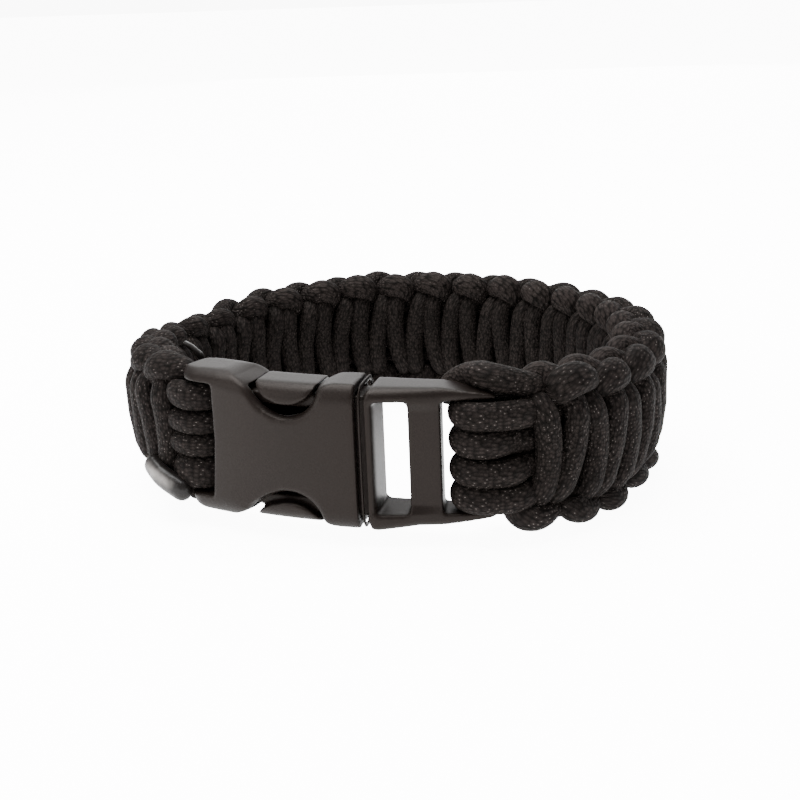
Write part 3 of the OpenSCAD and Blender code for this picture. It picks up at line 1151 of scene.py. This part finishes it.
@dataclass
class CordLoops:
    """The cords that go round the two bars of the buckle."""

    loop: Loop
    plug: LoopRow = LoopRow(23.6, (2.2, 2.2, 2.2, 2.2), (0.0, 0.0, 0.0, 0.0), (4.6, 3.4, 1.6, 4.6))
    socket: LoopRow = LoopRow(22.4, (2.7, 1.9, 1.9, 2.3), (1.1, 1.2, 0.7, 0.4), (1.6, 2.0, 2.2, 1.8))
    bar_r: float = 1.3
    cord_r: float = 2.0
    clear: float = 0.08
    thick: float = 1.8
    pitch: float = 4.31
    core_pitch: float = 3.55
    middle: float = 2.5
    step: float = 0.4
    sides: int = 20
    wobble: Pair = (0.1, 0.05)
    turn_len: float = 3.0
    turn_lean: float = 0.8
    leg_n: float = 3.3
    least_lean: float = 1e-3

    def route(self, k: int, reach: float, rise: float) -> Array:
        """Route of one loop, as length from the bar, w, n.

        A straight leg outside, half a turn round the bar, and a leg inside;
        both legs dive to the band's core past their reach.

        Args:
            k: Which loop, 1 being the lowest.
            reach: How far the outer leg goes straight.
            rise: How much higher than evenly spaced it lies.

        Returns:
            The chosen points, (n, 3).
        """
        r = self.bar_r + self.cord_r + self.clear
        w = (k - self.middle) * self.pitch + rise
        core = (k - self.middle) * self.core_pitch
        a = np.radians(np.arange(90, 271, 15))
        turn = np.stack([r * np.cos(a), np.full_like(a, w), r * np.sin(a)], 1)
        out = [(reach + 5.5, core, 0.3), (reach + 2.2, (w + core) / 2, 1.2), (reach, w, 3.0)]
        back = [(3.0, w, -3.0), (6.6, core, -1.5), (11.0, core, -0.4)]
        return np.vstack([out, turn, back])

    def build(self, cord: bpy.types.Material) -> list[bpy.types.Object]:
        """Builds the eight loops, the socket's turned the other way.

        The section's thickness points out of the loop, and near the bar it
        leans along the loop as well.

        Args:
            cord: The cord's finish.

        Returns:
            The pieces, each replacing its node.
        """
        rng = np.random.default_rng(SEED + 1)
        total = 2 * self.loop.half_len()
        pieces = []
        for end, row, bar, sign in ((End.PLUG, self.plug, self.plug.bar, 1),
                                    (End.SOCKET, self.socket, total - self.socket.bar, -1)):
            for k, (wide, rise, reach) in enumerate(zip(row.wide, row.rise, row.reach), 1):
                route = smooth_curve(self.route(k, reach, rise), self.step)
                route[:, 1:] += rng.normal(0, 1, 2) * self.wobble
                d, w, n = route.T
                s = bar + sign * d
                a = fade(np.abs(d), 0, self.turn_len)
                lean = (a - 1) * sign * np.sign(d) * self.turn_lean + self.least_lean
                flat = self.loop.direct(s, lean, 0 * s, n / self.leg_n)
                path = self.loop.place(np.stack([s, w, n], 1))
                piece = sweep(f"{end.value}_cord_{k}", cord, path, flat, wide, self.thick, self.sides)
                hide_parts(f"{end.value}_loop_{k}")
                pieces.append(piece)
        return pieces


# The buckle and the melted ends


@dataclass
class SoftCopy:
    """A CAD node's copy with its edges softened as a mould softens them.

    The copy is rebuilt as an even skin of small faces, and each point then
    moves half way to the middle of its neighbours a few times. After that the
    points move along the buckle's front arc, where u is the length along it, w
    the height over its middle and n the distance out of it. A field that
    ends in fade is the start and the length of a fade.
    """

    node: bpy.types.Object
    name: str
    loop: Loop
    weld_gap: float = 0.001
    voxel: float = 0.24
    smoothing: float = 0.5
    rounds: int = 16
    left_fade: Pair = (-8.0, -6.0)
    right_fade: Pair = (7.1, 0.8)
    nose_u: float = -19.6
    nose_len: float = 4.4
    nose_short: float = 0.86
    nose_most: float = 0.95
    slot_half: float = 8.7
    rim_u: float = -11.0
    rim_fade: Pair = (6.0, -6.0)
    rim_w_fade: Pair = (5.5, 3.0)
    rim_shift: Pair = (1.6, 0.5)

    def build(self, plastic: bpy.types.Material) -> bpy.types.Object:
        """Makes the soft copy.

        Args:
            plastic: The buckle's finish.

        Returns:
            The new piece, which replaces its node.
        """
        mesh = self.node.data.copy()
        piece = link(self.name, mesh)
        weld = piece.modifiers.new("weld", "WELD")
        weld.merge_threshold = self.weld_gap * MM
        skin = piece.modifiers.new("skin", "REMESH")
        skin.mode = "VOXEL"
        skin.voxel_size = self.voxel * MM
        soft = piece.modifiers.new("soft", "SMOOTH")
        soft.factor = self.smoothing
        soft.iterations = self.rounds
        graph = bpy.context.evaluated_depsgraph_get()
        piece.data = bpy.data.meshes.new_from_object(piece.evaluated_get(graph))
        piece.modifiers.clear()
        bpy.data.meshes.remove(mesh)
        self.warp(piece.data)
        dress(piece, plastic)
        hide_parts(self.node.name)
        return piece

    def warp(self, mesh: bpy.types.Mesh) -> None:
        """Rounds the lugs' ends in plan, and turns the cuts square to the front arc.

        Past the scallops and in the plug's frame the straight cut x becomes
        u = r asin(x / r). Past nose_u a lug is nose_short times as long, and its
        n is times sqrt(1 - q^2), q being the share of the nose's length. Each
        half then takes its own shape. Last, the scallops' rims by the lugs, and
        the pads' ends with them, move nearer to the lugs by rim_shift, below
        and above.

        Args:
            mesh: The mesh to change.
        """
        co = np.empty(len(mesh.vertices) * 3, dtype=np.float32)
        mesh.vertices.foreach_get("co", co)
        x, y, z = (co.reshape(-1, 3) / MM).astype(float).T
        r = self.loop.front_r
        centre_y = self.loop.front_y() + r
        n = np.hypot(x, centre_y - y) - r
        u = r * np.arctan2(x, centre_y - y)
        square = fade(u, *self.left_fade) + fade(u, *self.right_fade)
        u = u + square * (r * np.arcsin(x / r) - u)
        u = np.where(u < self.nose_u, self.nose_u + self.nose_short * (u - self.nose_u), u)
        q = np.minimum(fade(u, self.nose_u, -self.nose_len), self.nose_most)
        u, w, n = self.shape(u, z - self.loop.mid_z, n * np.sqrt(1 - q * q))
        rim = eased(fade(np.abs(u - self.rim_u), *self.rim_fade)) * fade(np.abs(w), *self.rim_w_fade)
        u = u - rim * np.where(w < 0, *self.rim_shift)
        x, y = (r + n) * np.sin(u / r), centre_y - (r + n) * np.cos(u / r)
        co = np.stack([x, y, w + self.loop.mid_z], 1) * MM
        mesh.vertices.foreach_set("co", co.astype(np.float32).ravel())
        mesh.update()

    def shape(self, u: Array, w: Array, n: Array) -> tuple[Array, Array, Array]:
        """Leaves the points where they are; each half of the buckle has its own."""
        return u, w, n


@dataclass
class SocketBody(SoftCopy):
    """The socket, with bevelled scallops and a slot and plate that lean a little."""

    scallop: Triple = (-5.1, 11.4, 5.9)
    bulge: float = 1.2
    bulge_reach: float = 1.8
    bulge_inner: float = 0.6
    bulge_over: float = 0.8
    half_w: float = 12.4
    slot_grow: Pair = (0.4, 1.2)
    slot_fade: Pair = (-9.0, -7.0)
    plate_u: float = -16.7
    plate_fade: Pair = (5.0, -5.0)
    plate_lean: float = 0.9

    def shape(self, u: Array, w: Array, n: Array) -> tuple[Array, Array, Array]:
        """Shapes the scallops, the slot and the plate's edge.

        A scallop is a circle's middle u, its height and its radius. Its wall
        stands out by bulge (1 - (n/h)^2) halfway through, so that its rims
        show as soft bevels. The plate's edge leans towards the lugs below the
        middle, and the slot's two edges lie slot_grow higher.

        Args:
            u: Lengths along the front arc.
            w: Heights over its middle.
            n: Distances out of it.

        Returns:
            The new u, w and n.
        """
        middle, height, radius = self.scallop
        du, dw = u - middle, np.abs(w) - height
        far = np.hypot(du, dw)
        wall = fade(far, radius + self.bulge_reach, -self.bulge_reach)
        wall = wall * (far > radius - self.bulge_inner) * (dw < self.bulge_over)
        depth = 1 - np.clip(n / self.loop.socket_half, -1, 1) ** 2
        shift = self.bulge * wall * depth / np.maximum(far, 1)
        u, w = u - du * shift, w - np.sign(w) * dw * shift
        plate = fade(w, 0, -self.slot_half) * fade(np.abs(u - self.plate_u), *self.plate_fade)
        u = u - self.plate_lean * plate
        edges = (-self.half_w, -self.slot_half, self.slot_half, self.half_w)
        rise = np.interp(w, edges, (0, *self.slot_grow, 0))
        return u, w + rise * fade(u, *self.slot_fade), n


@dataclass
class PlugBody(SoftCopy):
    """The plug, with arms that thicken towards its shoulder."""

    shoulder_u: float = 7.0
    shoulder_edge: float = 0.15
    shoulder_band: Pair = (1.4, -0.6)
    shoulder_grow: float = 0.48
    arms_even_u: float = 19.0
    arm_fade: Pair = (7.4, 1.2)
    tip_shrink: float = 0.3
    foot: float = 0.8
    foot_w: float = 1.5
    foot_fade: Pair = (14.0, -6.0)

    def shape(self, u: Array, w: Array, n: Array) -> tuple[Array, Array, Array]:
        """Shapes the arms.

        They are as thick as the node's at arms_even_u. From there they grow
        evenly thicker to the shoulder, as the post there does, and thinner to
        their tips. The lower arm stands lower by foot at the shoulder.

        Args:
            u: Lengths along the front arc.
            w: Heights over its middle.
            n: Distances out of it.

        Returns:
            The new u, w and n.
        """
        frame = u > self.shoulder_u - self.shoulder_edge
        even = (self.arms_even_u - u) / (self.arms_even_u - self.shoulder_u)
        past, length = self.shoulder_band
        arm = np.maximum(fade(np.abs(w), *self.arm_fade), fade(u, self.shoulder_u + past, length))
        grow = np.where(even > 0, self.shoulder_grow, self.tip_shrink) * even
        low = fade(w, -self.slot_half, -self.foot_w) * fade(u, *self.foot_fade)
        return u, w - self.foot * low * frame, n * (1 + grow * arm * frame)


@dataclass
class MouthRing:
    """The thin rib round the plug's collar, in the groove at the socket's mouth."""

    loop: Loop
    u: float = 6.3
    half_n: float = 4.35
    half_w: float = 10.85
    wide: float = 0.16
    thick: float = 0.4
    corners: int = 240
    step: float = 0.4
    sides: int = 10

    def build(self, plastic: bpy.types.Material) -> bpy.types.Object:
        """Makes the rib: a tube along the superellipse |n/a|^6 + |w/b|^6 = 1, joined at the inner side.

        Args:
            plastic: The buckle's finish.

        Returns:
            The piece.
        """
        a = np.pi + np.linspace(0, 2 * np.pi, self.corners + 1)
        n, w = (half * np.sign(v) * np.abs(v) ** (1 / 3)
                for half, v in ((self.half_n, np.cos(a)), (self.half_w, np.sin(a))))
        route = respace(np.stack([np.full_like(n, self.u), w, n], 1), self.step)
        u, w, n = route.T
        flat = self.loop.direct(u, 0 * u, w / self.half_w, n / self.half_n)
        return sweep("mouth_ring", plastic, self.loop.place(route), flat, self.wide, self.thick, self.sides)


@dataclass
class MeltedEnd:
    """One melted end of the working cord: a flattened, glazed stub.

    Its places are (length before the buckle's middle, w, n), and its half
    width changes evenly from the first place to the last.
    """

    loop: Loop
    name: str
    node: str
    places: tuple[Triple, ...]
    wide: Pair
    thick: float
    tilt: float = 0.25
    step: float = 0.3
    sides: int = 24
    dome: float = 0.9

    def build(self, melted: bpy.types.Material) -> bpy.types.Object:
        """Makes the stub.

        Args:
            melted: Its finish.

        Returns:
            The piece, which replaces its node.
        """
        knots = np.array(self.places) * [-1, 1, 1] + [2 * self.loop.half_len(), 0, 0]
        route = smooth_curve(knots, self.step)
        s, w, n = route.T
        flat = self.loop.direct(s, 0 * s, self.tilt * np.sign(w), np.sign(n))
        piece = sweep(self.name, melted, self.loop.place(route), flat, np.linspace(*self.wide, len(s)),
                      self.thick, self.sides, self.dome)
        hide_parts(self.node)
        return piece


# Studio


def stand(name: str, data: bpy.types.ID, axes: Sequence[Array], place: Sequence[float]) -> bpy.types.Object:
    """Puts a camera or a lamp in the scene.

    Args:
        name: Its name.
        data: The camera or the lamp.
        axes: Its right, up and back directions.
        place: Where it is, in metres.

    Returns:
        The object.
    """
    thing = link(name, data)
    rows = [[*(axis[i] for axis in axes), place[i]] for i in range(3)]
    thing.matrix_world = Matrix([*rows, [0, 0, 0, 1]])
    return thing


@dataclass(frozen=True)
class Lamp:
    """A square soft light that faces the bracelet, in metres and watts."""

    name: str
    place: Triple
    size: float
    power: float
    target: Triple = (0.0, 0.0, 0.012)
    deep: Triple = (0.0, 1.0, 0.01)

    def build(self) -> None:
        """Sets the lamp up, with one side square to its facing and to the deep direction."""
        data = bpy.data.lights.new(self.name, "AREA")
        data.size = self.size
        data.energy = self.power
        back = unit(np.array(self.place) - self.target)
        across = unit(np.cross(self.deep, back))
        stand(self.name, data, (across, np.cross(back, across), back), self.place)


@dataclass(frozen=True)
class Studio:
    """Floor, soft lights and the camera."""

    target: Triple = (0.0, -0.05, 12.5)
    distance: float = 242.1
    elevation: float = 16.61
    yaw: float = -18.7
    roll: float = -2.3
    focal_px: float = 1387.6
    centre_px: Pair = (401.7, 382.7)
    image_px: int = 800
    sensor: float = 36.0
    near_clip: float = 0.01
    floor_half: float = 3.0
    floor_z: float = -0.0012
    sky: float = 0.75
    lamps: tuple[Lamp, ...] = (
        Lamp("top", (-0.1, 0.0, 0.60), 0.5, 12.0),
        Lamp("back", (-0.15, 0.75, 0.35), 0.8, 5.0),
        Lamp("front", (-0.45, -0.5, 0.30), 0.4, 3.4),
    )

    def camera(self) -> None:
        """Sets the camera.

        The view direction comes from yaw and elevation; right and up are
        turned about it by the roll, and the shift moves the picture's centre.
        """
        y, e, r = (math.radians(v) for v in (self.yaw, self.elevation, self.roll))
        d = np.array([math.sin(y) * math.cos(e), math.cos(y) * math.cos(e), -math.sin(e)])
        right = np.array([math.cos(y), -math.sin(y), 0.0])
        up = np.cross(right, d)
        axes = (math.cos(r) * right + math.sin(r) * up, -math.sin(r) * right + math.cos(r) * up, -d)
        data = bpy.data.cameras.new("camera")
        data.sensor_width = self.sensor
        data.lens = self.focal_px * self.sensor / self.image_px
        data.shift_x = (self.image_px / 2 - self.centre_px[0]) / self.image_px
        data.shift_y = (self.centre_px[1] - self.image_px / 2) / self.image_px
        data.clip_start = self.near_clip
        place = (np.array(self.target) - d * self.distance) * MM
        bpy.context.scene.camera = stand("camera", data, axes, place)

    def floor(self) -> None:
        """Lays a wide plain floor just under the bracelet's lowest knobs."""
        half, z = self.floor_half, self.floor_z
        mesh = bpy.data.meshes.new("floor")
        mesh.from_pydata([(-half, -half, z), (half, -half, z), (half, half, z), (-half, half, z)],
                         [], [(0, 1, 2, 3)])
        mesh.materials.append(PaleFloor().make())
        link("floor", mesh)

    def build(self) -> None:
        """Sets up the whole studio."""
        self.camera()
        self.floor()
        for lamp in self.lamps:
            lamp.build()
        world = bpy.data.worlds.new("studio")
        t = Nodes(world)
        t.fill(t.shader, Color=PaleFloor.white, Strength=t.seen(PaleFloor.seen, self.sky))
        bpy.context.scene.world = world


@dataclass
class Bracelet:
    """The whole bracelet."""

    nodes: dict[str, bpy.types.Object]
    loop: Loop = field(default_factory=Loop)

    def build(self) -> list[bpy.types.Object]:
        """Builds and dresses every piece.

        Returns:
            The pieces.
        """
        cord, plastic, melted = BraidedNylon().make(), MouldedPlastic().make(), MeltedNylon().make()
        cords = WovenBand(self.loop).build(cord) + CordLoops(self.loop).build(cord)
        halves = [SocketBody(self.nodes["buckle_socket"], "socket_body", self.loop).build(plastic),
                  PlugBody(self.nodes["buckle_plug"], "plug_body", self.loop).build(plastic)]
        ends = [
            MeltedEnd(self.loop, "melted_lower", "cord_end_lower",
                      places=((29.2, -5.7, 4.7), (26.6, -6.8, 5.2), (23.9, -8.3, 4.7)),
                      wide=(1.8, 2.0), thick=1.6).build(melted),
            MeltedEnd(self.loop, "melted_upper", "cord_end_upper",
                      places=((35.5, 11.6, -4.9), (32.3, 11.2, -5.3), (28.8, 10.4, -5.3)),
                      wide=(0.4, 1.1), thick=0.45).build(melted),
        ]
        halves.append(MouthRing(self.loop).build(plastic))
        for group, name in ((cords, "cord"), (halves, "buckle_plastic"), (ends, "melted_cord")):
            for piece in group:
                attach(piece, "root")
        return cords + halves + ends


def main() -> None:
    """Builds the bracelet and its studio."""
    logging.basicConfig(level=logging.INFO, format="%(name)s: %(message)s")
    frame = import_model()
    for piece in Bracelet(frame["nodes"]).build():
        LOG.info("%s: %d faces", piece.name, len(piece.data.polygons))
    Studio().build()


if __name__ == "__main__":
    main()
